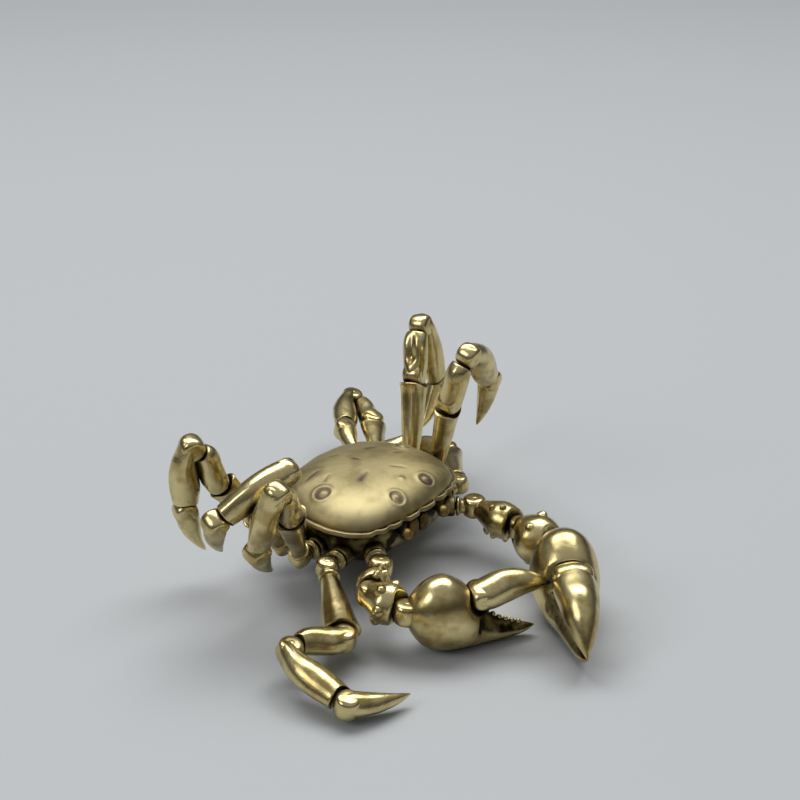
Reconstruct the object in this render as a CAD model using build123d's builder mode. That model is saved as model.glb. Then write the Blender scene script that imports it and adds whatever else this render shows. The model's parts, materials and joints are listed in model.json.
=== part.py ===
from build123d import *
from math import cos, radians, sin
import os

# Posable crab figurine, millimetres, +Z up, standing on Z = 0. The face looks along -Y
# and the crab's own left is +X. Every limb piece turns on a pin in a forked knuckle.

# The shell's own middle line and brow line, seen from the origin.
body_x = 3.6
body_y = 7.12

# Body.
rim_height = 10.11            # underside of the shell's rim above the floor
rim_thickness = 0.7
rim_ledge_share = 0.955      # the dome's foot against the rim's outline
dome_rise = 4.0              # crown above the top of the rim
shell_length = 22.4
shell_half_width = 13.3
body_depth = 7.1             # from the rim's underside down to the belly
waist_share = 0.5            # how far up the underbody draws in
underbody_share = 0.9        # underbody's top outline against the rim's
belly_share = 0.62

# Hinges: an eye between two cheeks on a peened pin.
pin_radius = 0.42
pin_clearance = 0.04
side_clearance = 0.1
eye_thickness = 1.0
cheek_thickness = 0.7
knuckle_radius = 1.1
knuckle_clearance = 0.22
strap_bite = 0.5             # how far an eye or cheek runs on into its own piece
strap_share = 1.0            # half width of the strap behind a knuckle
folded_strap_share = 0.25    # the same on the side that folds shut

# Swivels: a collar whose shank turns in a blind socket of the underbody.
collar_radius = 1.45
collar_thickness = 0.8
collar_gap = 0.1
shank_radius = 0.7
shank_length = 1.8
shank_clearance = 0.05
socket_radius = 1.7
socket_length = 3.4
socket_end_gap = 0.25
hip_reach = 2.9              # from a socket's face out to the hip pin

overrun = 1.0                # how far a cutter runs past the face it opens
round_sides = 10             # flats that stand for a small round
shell_sides = 40

fork_width = eye_thickness + 2 * side_clearance + 2 * cheek_thickness
slot_width = eye_thickness + 2 * side_clearance
shoulder = knuckle_radius + knuckle_clearance

# Walking limbs, front pair to rear pair: roots on the crab's left, mirrored to its right.
leg_root_across = (12.6, 12.8, 12.0, 9.8)
leg_root_along = (-2.6, 1.9, 5.6, 9.3)
leg_root_drop = 3.7          # below the rim's underside
leg_azimuths = (-6, 2, 12, 28)
leg_size_shares = (1.0, 1.0, 1.0, 0.9)
stem_length = 14.8
stem_half_width = 2.3
stem_half_thickness = 1.3
stem_collar_radius = 1.4
stem_collar_reach = 1.95
stem_collar_thickness = 0.7
merus_length = 8.0
merus_half_width = 2.0
merus_half_thickness = 1.35
propodus_length = 11.8
propodus_half_width = 2.4
propodus_half_thickness = 1.5
dactylus_length = 9.0
dactylus_half_width = 1.45
dactylus_half_thickness = 1.2

# Upper side of a keeled section from its right edge, as shares of half width and thickness.
keel_shares = ((1.0, 0.0), (0.62, 0.74), (0.0, 1.0), (-0.62, 0.74))

# Shares along a piece between its shoulders, then of lift, half width and half thickness.
stem_shares = (
    (0.0, 0.0, 0.56, 0.9), (0.17, 0.0, 0.56, 0.9), (0.5, 0.0, 0.8, 0.96),
    (0.88, 0.0, 0.86, 0.96), (1.0, 0.0, 1.0, 1.1))
merus_shares = (
    (0.0, 0.0, 0.62, 0.95), (0.3, 0.12, 0.88, 1.0), (0.62, 0.42, 0.86, 0.95), (1.0, 0.42, 0.56, 0.85))
propodus_shares = (
    (0.0, 0.33, 0.47, 0.9), (0.22, 0.42, 0.78, 1.0), (0.52, 0.26, 1.0, 1.0), (0.85, 0.05, 0.86, 0.85),
    (1.0, 0.0, 0.62, 0.8))
dactylus_shares = (
    (0.0, 0.0, 0.9, 1.0), (0.35, 0.35, 0.95, 0.9), (0.7, 0.25, 0.6, 0.6), (1.0, -0.25, 0.12, 0.15))

# Posed angles in degrees: swivel, hip, knee, elbow, tip.
leg_poses = {
    "leg_r1": (-78, -45, 73, -104, -67),
    "leg_r2": (23, 63, -9, -145, -32),
    "leg_r3": (27, 57, 56, -145, -75),
    "leg_r4": (5, 51, 11, -145, -23),
    "leg_l1": (-79, -51, -40, -75, -25),
    "leg_l2": (-14, 95, -21, -117, -43),
    "leg_l3": (10, 66, -10, -133, -72),
    "leg_l4": (-104, -17, -25, -145, -20),
}

# Claw arms.
claw_root_across = 9.35
claw_root_along = -6.9
claw_root_drop = 3.3
claw_azimuth = -52
claw_size_shares = {"claw_right": 1.0, "claw_left": 1.2}
arm_merus_length = 7.6
arm_merus_half_width = 1.9
arm_merus_half_thickness = 1.7
carpus_length = 6.2
carpus_half_width = 2.5
carpus_half_thickness = 2.2
palm_length = 11.7
palm_half_height = 5.2
palm_half_thickness = 2.5
finger_joint_share = 0.86    # finger pin along the palm
finger_joint_lift = 2.6      # and above its middle
fixed_finger_reach = 7.4     # past the palm's length
finger_length = 10.4
finger_half_height = 2.1
finger_half_thickness = 1.5

arm_merus_shares = (
    (0.0, 0.0, 0.62, 0.8), (0.45, 0.0, 0.9, 1.0), (1.0, 0.0, 0.75, 0.9))
carpus_shares = (
    (0.0, 0.0, 0.5, 0.62), (0.5, 0.1, 1.0, 1.0), (1.0, 0.0, 0.56, 0.7))
palm_shares = (
    (0.0, 0.0, 0.3, 0.5), (0.2, 0.0, 0.72, 0.85), (0.55, -0.04, 1.0, 1.0), (1.0, -0.1, 0.84, 0.85))
fixed_finger_shares = (
    (0.0, -0.5, 0.42, 0.7), (0.3, -0.56, 0.36, 0.62), (0.65, -0.6, 0.22, 0.42), (1.0, -0.5, 0.04, 0.06))
finger_shares = (
    (0.0, 0.1, 0.85, 0.9), (0.3, 0.45, 1.0, 1.0), (0.65, 0.45, 0.62, 0.7), (1.0, -0.1, 0.08, 0.1))

# Posed angles in degrees: swivel, hip, elbow, wrist, finger opening.
claw_poses = {
    "claw_right": (98, -23, 64, 51, 12),
    "claw_left": (-91, 43, 6, 34, -24),
}

# Right half of the shell's outline from the brow to the tail, as shares of its half width
# across and of its length back from the brow.
outline_across_shares = (0.0, 0.2, 0.4, 0.6, 0.8, 0.93, 1.0, 1.0, 0.97, 0.86, 0.66, 0.38, 0.0)
outline_back_shares = (0.0, 0.0, 0.01, 0.03, 0.08, 0.18, 0.32, 0.45, 0.6, 0.76, 0.89, 0.97, 1.0)
brow_along = -8.2            # the brow seen from the body's own centre
front_along = brow_along + shell_length * (1 - underbody_share) / 2

# Face.
eye_across = 4.3
eye_drop = 1.3               # below the rim's underside
eye_radius = 0.95
eye_reach = 1.5              # ball's centre in front of the underbody
ball_shares = ((-0.9, 0.44), (-0.5, 0.87), (0.0, 1.0), (0.5, 0.87), (0.9, 0.44))
stalk_radius = 0.4
stalk_clearance = 0.03
orbit_depth = 0.8
mouth_drop = 2.0             # middle of the mouthparts below the rim's underside
mouth_plate_width = 2.2
mouth_plate_height = 3.2
mouth_plate_gap = 0.3
mouth_thickness = 1.2
mouth_recess = 0.5
mouth_clearance = 0.05

os.makedirs("parts", exist_ok=True)


def finish(piece, name):
    piece.part.label = name
    export_step(piece.part, f"parts/{name}.step")


def root_plane(side, root_across, root_along, root_height, azimuth, swivel):
    """Socket face: X out of the body, Y up in the limb's own plane, Z the way its hinges run."""
    out = Vector(side * cos(radians(azimuth)), sin(radians(azimuth)), 0)
    level = Vector(0, 0, 1).cross(out)
    up = Vector(0, 0, 1) * cos(radians(swivel)) + level * sin(radians(swivel))
    place = (body_x + side * root_across, body_y + root_along, root_height)
    return Plane(origin=place, x_dir=out, z_dir=out.cross(up))


def onward(plane, reach, turn):
    """Next pin's plane: reach along X, then turned about the hinge axis."""
    x_dir = plane.x_dir * cos(radians(turn)) + plane.y_dir * sin(radians(turn))
    return Plane(origin=plane.origin + plane.x_dir * reach, x_dir=x_dir, z_dir=plane.z_dir)


def facing_back(plane, reach):
    """Plane at the far pin of a piece, its X pointing back into the piece."""
    return Plane(origin=plane.origin + plane.x_dir * reach, x_dir=-plane.x_dir, z_dir=plane.z_dir)


def section_plane(plane, reach, lift=0.0, rise=0.0):
    """Plane square to a piece: its X is the piece's Y, its Y runs along the hinge axis."""
    place = plane.origin + plane.x_dir * reach + plane.y_dir * lift + plane.z_dir * rise
    return Plane(origin=place, x_dir=plane.y_dir, z_dir=plane.x_dir)


def keel_ring(plane, half_width, half_thickness):
    """Corners of a keeled section, widest along the plane's X."""
    upper = [(x * half_width, y * half_thickness) for x, y in keel_shares]
    return [plane.from_local_coords((x, y, 0)) for x, y in upper + [(-x, -y) for x, y in upper]]


def round_ring(plane, radius):
    """Corners of a small round section."""
    turns = [radians(360 * step / round_sides) for step in range(round_sides)]
    return [plane.from_local_coords((radius * cos(turn), radius * sin(turn), 0)) for turn in turns]


def faceted(rings):
    """Solid with flat facets between rings of corners, each ring with the same number."""
    faces = [Face(Wire.make_polygon(rings[0])), Face(Wire.make_polygon(rings[-1]))]
    for near, far in zip(rings, rings[1:]):
        for step, corner in enumerate(near):
            before = step - 1
            faces.append(Face(Wire.make_polygon([corner, near[before], far[before]])))
            faces.append(Face(Wire.make_polygon([corner, far[before], far[step]])))
    return Solid(Shell(faces))


def knuckle(low_share, high_share, turned=False):
    """Round end about a pin with its strap running along +X; an eye's end is turned true."""
    strap_length = shoulder + strap_bite
    low = low_share * knuckle_radius
    high = high_share * knuckle_radius
    with BuildSketch() as outline:
        if turned:
            Circle(knuckle_radius)
        else:
            RegularPolygon(knuckle_radius, round_sides)
        with Locations((strap_length / 2, (high - low) / 2)):
            Rectangle(strap_length, low + high)
    return outline.sketch


def link(name, bodies, forks=(), eyes=(), collars=()):
    """A limb's piece: faceted bodies, with forks, eyes and collars."""
    with BuildPart() as piece:
        for body in bodies:
            add(body)
        for plane, radius, thickness in collars:
            with BuildSketch(plane):
                RegularPolygon(radius, round_sides)
            extrude(amount=thickness)
        for pin, low_share, high_share in forks:
            with BuildSketch(pin.offset(-fork_width / 2)):
                add(knuckle(low_share, high_share))
            extrude(amount=fork_width)
            with BuildSketch(pin.offset(-slot_width / 2)):
                with Locations(((shoulder - knuckle_radius - overrun) / 2, 0)):
                    Rectangle(shoulder + knuckle_radius + overrun, 2 * knuckle_radius + 2 * overrun)
            extrude(amount=slot_width, mode=Mode.SUBTRACT)
            with BuildSketch(pin.offset(-fork_width / 2)):
                RegularPolygon(pin_radius, round_sides)
            extrude(amount=fork_width)
        for pin, low_share, high_share in eyes:
            with BuildSketch(pin.offset(-eye_thickness / 2)):
                add(knuckle(low_share, high_share, turned=True))
            extrude(amount=eye_thickness)
            with BuildSketch(pin.offset(-eye_thickness / 2 - overrun)):
                RegularPolygon(pin_radius + pin_clearance, round_sides, major_radius=False)
            extrude(amount=eye_thickness + 2 * overrun, mode=Mode.SUBTRACT)
    finish(piece, name)


def span(plane, shares, start, end, half_width, half_thickness):
    """Faceted body of a piece between two reaches, from a table of shares."""
    return faceted([
        keel_ring(section_plane(plane, start + (end - start) * along, lift * half_width),
                  half_width * wide, half_thickness * thick)
        for along, lift, wide, thick in shares])


def coxa(name, root):
    """Shank, collar and hip eye that turn together in a socket."""
    facing = Plane(origin=root.origin, x_dir=root.y_dir, z_dir=root.x_dir)
    hip = facing_back(root, hip_reach)
    eye_back = hip_reach - collar_gap - collar_thickness + strap_bite
    with BuildPart() as piece:
        with BuildSketch(facing.offset(-shank_length)):
            Circle(shank_radius)
        extrude(amount=shank_length + collar_gap + collar_thickness)
        with BuildSketch(facing.offset(collar_gap)):
            RegularPolygon(collar_radius, round_sides)
        extrude(amount=collar_thickness)
        with BuildSketch(hip.offset(-eye_thickness / 2)):
            Circle(knuckle_radius)
            with Locations((eye_back / 2, 0)):
                Rectangle(eye_back, 2 * knuckle_radius * strap_share)
        extrude(amount=eye_thickness)
        with BuildSketch(hip.offset(-eye_thickness / 2 - overrun)):
            RegularPolygon(pin_radius + pin_clearance, round_sides, major_radius=False)
        extrude(amount=eye_thickness + 2 * overrun, mode=Mode.SUBTRACT)
    finish(piece, name)


def leg_planes(name):
    """Planes of a walking limb: root, hip, knee, elbow, tip, and its size share."""
    side = -1 if name[4] == "r" else 1
    pair = int(name[5]) - 1
    size = leg_size_shares[pair]
    swivel, hip, knee, elbow, tip = leg_poses[name]
    root = root_plane(side, leg_root_across[pair], leg_root_along[pair], rim_height - leg_root_drop,
                      leg_azimuths[pair], swivel)
    stem = onward(root, hip_reach, hip)
    merus = onward(stem, stem_length * size, knee)
    propodus = onward(merus, merus_length * size, elbow)
    dactylus = onward(propodus, propodus_length * size, tip)
    return root, stem, merus, propodus, dactylus, size


def claw_planes(name):
    """Planes of a claw arm: root, merus, carpus, palm, finger, and its size share."""
    side = -1 if name == "claw_right" else 1
    size = claw_size_shares[name]
    swivel, hip, elbow, wrist, opening = claw_poses[name]
    root = root_plane(side, claw_root_across, claw_root_along, rim_height - claw_root_drop,
                      claw_azimuth, swivel)
    merus = onward(root, hip_reach, hip)
    carpus = onward(merus, arm_merus_length * size, elbow)
    palm = onward(carpus, carpus_length * size, wrist)
    up = palm.z_dir * (1 if palm.z_dir.Z > 0 else -1)
    pin = palm.origin + palm.x_dir * palm_length * size * finger_joint_share + up * finger_joint_lift * size
    hand = Plane(origin=pin, x_dir=palm.x_dir, z_dir=palm.x_dir.cross(up))
    return root, merus, carpus, palm, onward(hand, 0, opening), hand, up, size


def walking_leg(name):
    root, stem, merus, propodus, dactylus, size = leg_planes(name)
    coxa(f"{name}_coxa", root)
    length = stem_length * size
    link(f"{name}_stem",
         [span(stem, stem_shares, shoulder, length - shoulder,
                        stem_half_width * size, stem_half_thickness)],
         forks=[(stem, strap_share, strap_share)],
         eyes=[(facing_back(stem, length), strap_share, strap_share)],
         collars=[(section_plane(stem, stem_collar_reach), stem_collar_radius, stem_collar_thickness)])
    length = merus_length * size
    link(f"{name}_merus",
         [span(merus, merus_shares, shoulder, length - shoulder,
                        merus_half_width * size, merus_half_thickness)],
         forks=[(merus, strap_share, strap_share)],
         eyes=[(facing_back(merus, length), strap_share, folded_strap_share)])
    length = propodus_length * size
    link(f"{name}_propodus",
         [span(propodus, propodus_shares, shoulder, length - shoulder,
                        propodus_half_width * size, propodus_half_thickness)],
         forks=[(propodus, folded_strap_share, strap_share)],
         eyes=[(facing_back(propodus, length), strap_share, strap_share)])
    link(f"{name}_dactylus",
         [span(dactylus, dactylus_shares, shoulder, dactylus_length * size,
                        dactylus_half_width * size, dactylus_half_thickness * size)],
         forks=[(dactylus, strap_share, strap_share)])


def claw_arm(name):
    root, merus, carpus, palm, finger, hand, up, size = claw_planes(name)
    coxa(f"{name}_coxa", root)
    length = arm_merus_length * size
    link(f"{name}_merus",
         [span(merus, arm_merus_shares, shoulder, length - shoulder,
                        arm_merus_half_width * size, arm_merus_half_thickness * size)],
         forks=[(merus, strap_share, strap_share)],
         eyes=[(facing_back(merus, length), strap_share, strap_share)])
    length = carpus_length * size
    link(f"{name}_carpus",
         [span(carpus, carpus_shares, shoulder, length - shoulder,
                        carpus_half_width * size, carpus_half_thickness * size)],
         forks=[(carpus, strap_share, strap_share)],
         eyes=[(facing_back(carpus, length), strap_share, strap_share)])
    # The palm is tall along the arm's hinge axis, so its sections stand on a turned plane.
    tall = Plane(origin=palm.origin, x_dir=palm.x_dir, z_dir=palm.x_dir.cross(up))
    front = palm_length * size * finger_joint_share - shoulder
    reach = (palm_length + fixed_finger_reach) * size
    link(f"{name}_palm",
         [span(tall, palm_shares, shoulder, front, palm_half_height * size,
                        palm_half_thickness * size),
          span(tall, fixed_finger_shares, front - strap_bite, reach,
                        palm_half_height * size, palm_half_thickness * size)],
         forks=[(palm, strap_share, strap_share), (facing_back(hand, 0), strap_share, strap_share)])
    link(f"{name}_finger",
         [span(finger, finger_shares, shoulder, finger_length * size,
                        finger_half_height * size, finger_half_thickness * size)],
         eyes=[(finger, strap_share, strap_share)])


half_outline = [
    (across * shell_half_width, (back - 1 / 2) * shell_length)
    for across, back in zip(outline_across_shares, outline_back_shares)]
other_half = [(-x, y) for x, y in reversed(half_outline[1:-1])]
outline_curve = Spline(*half_outline, *other_half, periodic=True)
outline_points = [outline_curve @ (step / shell_sides) for step in range(shell_sides)]


def shell_ring(height, share):
    """The shell's outline at a height, drawn to a share of its size about its middle."""
    middle_y = body_y + brow_along + shell_length / 2
    return [Vector(body_x + point.X * share, middle_y + point.Y * share, height)
            for point in outline_points]


dome_shares = ((1.0, 0.0), (0.97, 0.27), (0.9, 0.48), (0.78, 0.68), (0.62, 0.84), (0.42, 0.95), (0.2, 1.0))

dome_foot = rim_height + rim_thickness
with BuildPart() as carapace:
    add(faceted([shell_ring(rim_height, 1), shell_ring(dome_foot, 1)]))
    add(faceted([shell_ring(dome_foot + dome_rise * rise_share, rim_ledge_share * share)
                 for share, rise_share in dome_shares]))
finish(carapace, "carapace")

face_plane = Plane(origin=(body_x, body_y + front_along, 0), x_dir=(1, 0, 0), z_dir=(0, -1, 0))


def mouth_outline(clearance):
    """Two plates side by side with a bridge between them, on the face."""
    across_plates = (mouth_plate_width + mouth_plate_gap) / 2
    with BuildSketch() as outline:
        with Locations((-across_plates, rim_height - mouth_drop), (across_plates, rim_height - mouth_drop)):
            Rectangle(mouth_plate_width + 2 * clearance, mouth_plate_height + 2 * clearance)
        with Locations((0, rim_height - mouth_drop)):
            Rectangle(2 * across_plates, mouth_plate_height / 2 + 2 * clearance)
    return outline.sketch


roots = [leg_planes(name)[0] for name in leg_poses] + [claw_planes(name)[0] for name in claw_poses]

with BuildPart() as plastron:
    belly_height = rim_height - body_depth
    waist_height = belly_height + body_depth * waist_share
    add(faceted([shell_ring(belly_height, belly_share), shell_ring(waist_height, underbody_share),
                 shell_ring(rim_height, underbody_share)]))
    for root in roots:
        facing = Plane(origin=root.origin, x_dir=root.y_dir, z_dir=root.x_dir)
        with BuildSketch(facing.offset(-socket_length)):
            RegularPolygon(socket_radius, round_sides)
        extrude(amount=socket_length)
    for root in roots:
        facing = Plane(origin=root.origin, x_dir=root.y_dir, z_dir=root.x_dir)
        with BuildSketch(facing.offset(-shank_length - socket_end_gap)):
            RegularPolygon(shank_radius + shank_clearance, round_sides, major_radius=False)
        extrude(amount=shank_length + socket_end_gap + overrun, mode=Mode.SUBTRACT)
    with BuildSketch(face_plane.offset(-orbit_depth)):
        with Locations((-eye_across, rim_height - eye_drop), (eye_across, rim_height - eye_drop)):
            RegularPolygon(stalk_radius + stalk_clearance, round_sides, major_radius=False)
    extrude(amount=orbit_depth + overrun, mode=Mode.SUBTRACT)
    with BuildSketch(face_plane.offset(-mouth_recess)):
        add(mouth_outline(mouth_clearance))
    extrude(amount=mouth_recess + overrun, mode=Mode.SUBTRACT)
finish(plastron, "plastron")

for name, side in (("eye_right", -1), ("eye_left", 1)):
    sight = Plane(origin=(body_x + side * eye_across, body_y + front_along, rim_height - eye_drop),
                  x_dir=(1, 0, 0), z_dir=(0, -1, 0))
    with BuildPart() as eye:
        add(faceted([round_ring(sight.offset(-orbit_depth), stalk_radius),
                     round_ring(sight.offset(eye_reach), stalk_radius)]))
        add(faceted([round_ring(sight.offset(eye_reach + eye_radius * reach_share), eye_radius * radius_share)
                     for reach_share, radius_share in ball_shares]))
    finish(eye, name)

with BuildPart() as mouthparts:
    with BuildSketch(face_plane.offset(-mouth_recess)):
        add(mouth_outline(0))
    extrude(amount=mouth_thickness)
finish(mouthparts, "mouthparts")

for name in leg_poses:
    walking_leg(name)
for name in claw_poses:
    claw_arm(name)
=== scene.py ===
"""Looks of a small posable crab figurine in polished, aged cast brass.

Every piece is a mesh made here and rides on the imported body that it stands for. The joints of
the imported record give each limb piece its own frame: X along the piece, Z along its hinge pin.
Lengths are millimetres in the classes and become metres in one place, Sculpt.finish.
"""

from __future__ import annotations

import json
import logging
import math
from dataclasses import dataclass, field
from enum import Enum
from typing import Any, ClassVar, Sequence

import bpy
import numpy as np
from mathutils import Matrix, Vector

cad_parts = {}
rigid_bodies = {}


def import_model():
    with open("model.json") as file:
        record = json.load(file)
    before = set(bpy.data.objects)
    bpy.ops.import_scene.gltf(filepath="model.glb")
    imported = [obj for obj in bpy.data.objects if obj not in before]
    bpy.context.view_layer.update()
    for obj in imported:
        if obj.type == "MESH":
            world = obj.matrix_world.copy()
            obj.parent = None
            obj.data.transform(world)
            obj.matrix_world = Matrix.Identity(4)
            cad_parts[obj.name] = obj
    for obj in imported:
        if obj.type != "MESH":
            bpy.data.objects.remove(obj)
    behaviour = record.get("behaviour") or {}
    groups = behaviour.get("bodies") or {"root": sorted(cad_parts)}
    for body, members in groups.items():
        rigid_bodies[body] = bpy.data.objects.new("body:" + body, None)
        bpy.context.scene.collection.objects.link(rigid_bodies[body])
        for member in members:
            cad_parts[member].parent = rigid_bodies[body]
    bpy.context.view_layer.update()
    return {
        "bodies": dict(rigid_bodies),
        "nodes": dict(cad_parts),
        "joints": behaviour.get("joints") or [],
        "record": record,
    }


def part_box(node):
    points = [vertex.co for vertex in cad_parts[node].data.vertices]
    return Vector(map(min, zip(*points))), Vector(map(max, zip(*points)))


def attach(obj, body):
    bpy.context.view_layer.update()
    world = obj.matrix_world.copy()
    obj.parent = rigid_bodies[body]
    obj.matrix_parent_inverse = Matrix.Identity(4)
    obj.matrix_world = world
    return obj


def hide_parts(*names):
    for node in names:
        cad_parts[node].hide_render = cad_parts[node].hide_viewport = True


LOG = logging.getLogger("crab")
MM = 0.001
PAIRS = (1, 2, 3, 4)

Array = np.ndarray
Ring = Array
Profile = Sequence[tuple[float, float]]
Places = Sequence[tuple[float, float]]


class Side(Enum):
    """The crab's own sides, in the order in which their limbs are made."""

    RIGHT = "right"
    LEFT = "left"

    @property
    def letter(self) -> str:
        """The side's letter in the names of the legs."""
        return self.value[0]


class Slot(Enum):
    """The record's material slots."""

    LIMB = "limb_brass"
    SHELL = "shell_brass"
    EYE = "eye_brass"


def linear(colour: str) -> tuple[float, float, float, float]:
    """Turns an sRGB hex colour into linear light.

    Args:
        colour: six hex digits after a hash.

    Returns:
        Linear red, green, blue and an alpha of one.
    """
    channels = [int(colour[i:i + 2], 16) / 255 for i in (1, 3, 5)]
    light = [c / 12.92 if c <= 0.04045 else ((c + 0.055) / 1.055) ** 2.4 for c in channels]
    return light[0], light[1], light[2], 1.0


def node(tree: bpy.types.NodeTree, kind: str, settings: dict[str, Any] | None = None,
         values: dict[Any, Any] | None = None, links: dict[Any, Any] | None = None
         ) -> bpy.types.Node:
    """Adds a shader node.

    Args:
        tree: the tree that gets it.
        kind: the node's class name.
        settings: its own properties, by name.
        values: constants for its inputs, by input name or number.
        links: sockets to join to its inputs, by input name or number.

    Returns:
        The new node.
    """
    made = tree.nodes.new(kind)
    for name, value in (settings or {}).items():
        setattr(made, name, value)
    for key, value in (values or {}).items():
        made.inputs[key].default_value = value
    for key, socket in (links or {}).items():
        tree.links.new(socket, made.inputs[key])
    return made


@dataclass(frozen=True)
class Finish:
    """One finish of cast brass: dark with patina in its hollows and with painted shade on its
    undersides.

    Attributes:
        name: the material's name, after the metal and how it was worked.
        slot: the record's slot that it stands for.
        bright: sRGB colour where the polish cut through.
        patina: sRGB colour of the patina left in hollows and of the painted shade on undersides and
            in a piece's marks.
        tint: sRGB colour of the tarnished patches between them.
        roughness: microfacet roughness where polished.
        dull: roughness where dark.
        grain_mm: size of the casting's fine pits.
        cloud_mm: size of the tarnish clouds and of the hand polish's waves.
        reach_mm: how far out of a hollow the dark spreads.
        depth: strength of the relief.
        under: strength of the painted shade on the undersides.
        pit_mm: depth of the pits.
        wave_mm: depth of the waves.
    """

    name: str
    slot: Slot
    bright: str
    patina: str
    tint: str
    roughness: float
    dull: float
    grain_mm: float
    cloud_mm: float
    reach_mm: float
    depth: float
    under: float = 0.55
    pit_mm: float = 0.05
    wave_mm: float = 0.16

    def build(self) -> bpy.types.Material:
        """Makes the material with its node tree."""
        material = bpy.data.materials.new(self.name)
        material.use_nodes = True
        tree = material.node_tree
        tree.nodes.clear()
        place = node(tree, "ShaderNodeTexCoord")
        cloud = node(tree, "ShaderNodeTexNoise", None,
                     {"Scale": 1 / (self.cloud_mm * MM), "Detail": 3.0, "Roughness": 0.6},
                     {"Vector": place.outputs["Object"]})
        grain = node(tree, "ShaderNodeTexNoise", None,
                     {"Scale": 1 / (self.grain_mm * MM), "Detail": 2.0, "Roughness": 0.5},
                     {"Vector": place.outputs["Object"]})
        dark = self._darkness(tree, place, cloud)
        patches = node(tree, "ShaderNodeMapRange", {"interpolation_type": "SMOOTHSTEP"},
                       {"From Min": 0.42, "From Max": 0.66, "To Min": 0.0, "To Max": 0.85},
                       {"Value": cloud.outputs["Fac"]})
        # Inputs 0, 6 and 7 of a colour mix are its factor and its two colours; output 2 is the mix.
        worn = node(tree, "ShaderNodeMix", {"data_type": "RGBA"},
                    {6: linear(self.bright), 7: linear(self.tint)}, {0: patches.outputs["Result"]})
        base = node(tree, "ShaderNodeMix", {"data_type": "RGBA"}, {7: linear(self.patina)},
                    {0: dark, 6: worn.outputs[2]})
        dulled = node(tree, "ShaderNodeMath", {"operation": "MULTIPLY_ADD"},
                      {1: self.dull - self.roughness, 2: self.roughness}, {0: dark})
        # The pits scatter the roughness a little to both sides.
        speckle = node(tree, "ShaderNodeMath", {"operation": "MULTIPLY_ADD"}, {1: 0.12, 2: -0.06},
                       {0: grain.outputs["Fac"]})
        rough = node(tree, "ShaderNodeMath", {"operation": "ADD"}, None,
                     {0: dulled.outputs["Value"], 1: speckle.outputs["Value"]})
        pits = node(tree, "ShaderNodeBump", None,
                    {"Strength": self.depth, "Distance": self.pit_mm * MM},
                    {"Height": grain.outputs["Fac"]})
        waves = node(tree, "ShaderNodeBump", None,
                     {"Strength": self.depth, "Distance": self.wave_mm * MM},
                     {"Height": cloud.outputs["Fac"], "Normal": pits.outputs["Normal"]})
        shader = node(tree, "ShaderNodeBsdfPrincipled", None, {"Metallic": 1.0},
                      {"Base Color": base.outputs[2], "Roughness": rough.outputs["Value"],
                       "Normal": waves.outputs["Normal"]})
        node(tree, "ShaderNodeOutputMaterial", None, None, {"Surface": shader.outputs["BSDF"]})
        return material

    def _darkness(self, tree: bpy.types.NodeTree, place: bpy.types.Node,
                  cloud: bpy.types.Node) -> bpy.types.NodeSocket:
        """Adds the nodes that say how dark the patina and the painted shade are.

        Args:
            tree: the material's node tree.
            place: its texture coordinates.
            cloud: the noise that breaks the patina up.

        Returns:
            The socket that carries the darkness, from zero to one.
        """
        smooth = {"interpolation_type": "SMOOTHSTEP"}
        # Hollows and the gaps between neighbouring pieces.
        hollow = node(tree, "ShaderNodeAmbientOcclusion", {"samples": 8},
                      {"Distance": self.reach_mm * MM})
        shut = node(tree, "ShaderNodeMapRange", smooth,
                    {"From Min": 0.45, "From Max": 0.95, "To Min": 1.0, "To Max": 0.0},
                    {"Value": hollow.outputs["AO"]})
        # Painted shade on the undersides, as the figure stands: darker where the surface faces
        # down.
        facing = node(tree, "ShaderNodeSeparateXYZ", None, None,
                      {"Vector": place.outputs["Normal"]})
        under = node(tree, "ShaderNodeMapRange", smooth,
                     {"From Min": -0.95, "From Max": -0.1, "To Min": self.under, "To Max": 0.0},
                     {"Value": facing.outputs["Z"]})
        # Patina marks and painted shade that a piece brings along in its mesh.
        marks = node(tree, "ShaderNodeAttribute", {"attribute_name": "patina"})
        both = node(tree, "ShaderNodeMath", {"operation": "ADD"}, None,
                    {0: shut.outputs["Result"], 1: under.outputs["Result"]})
        every = node(tree, "ShaderNodeMath", {"operation": "ADD"}, None,
                     {0: both.outputs["Value"], 1: marks.outputs["Fac"]})
        spread = node(tree, "ShaderNodeMapRange", smooth,
                      {"From Min": 0.35, "From Max": 0.7, "To Min": 0.6, "To Max": 1.25},
                      {"Value": cloud.outputs["Fac"]})
        dark = node(tree, "ShaderNodeMath", {"operation": "MULTIPLY", "use_clamp": True}, None,
                    {0: every.outputs["Value"], 1: spread.outputs["Result"]})
        return dark.outputs["Value"]


# Cast brass, tumbled and buffed: warm and mirror-like on the high places, with soft edges to its
# highlights, and brown-black in the joints. Its pits are about 0.05 mm on the real one and are
# drawn 0.18 mm wide, the finest that the render shows.
LIMB_BRASS = Finish(
    name="tumbled_cast_brass", slot=Slot.LIMB, bright="#dccb94", patina="#2a2014", tint="#ad9860",
    roughness=0.23, dull=0.55, grain_mm=0.18, cloud_mm=3.5, reach_mm=1.4, depth=0.42)

# The same brass brushed and left to age: satin, paler and greyer, with plum-brown tarnish.
SHELL_BRASS = Finish(
    name="brushed_aged_brass", slot=Slot.SHELL, bright="#b3a67c", patina="#5a4a48",
    tint="#93875f", roughness=0.5, dull=0.64, grain_mm=0.2, cloud_mm=5.0, reach_mm=0.8, depth=0.3)

# Brass as it left the mould: rough and dull, so that eyes and mouth stay dark.
EYE_BRASS = Finish(
    name="rough_cast_brass", slot=Slot.EYE, bright="#9c8450", patina="#2a1e12", tint="#7c683c",
    roughness=0.4, dull=0.6, grain_mm=0.15, cloud_mm=2.0, reach_mm=1.0, depth=0.5)


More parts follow.
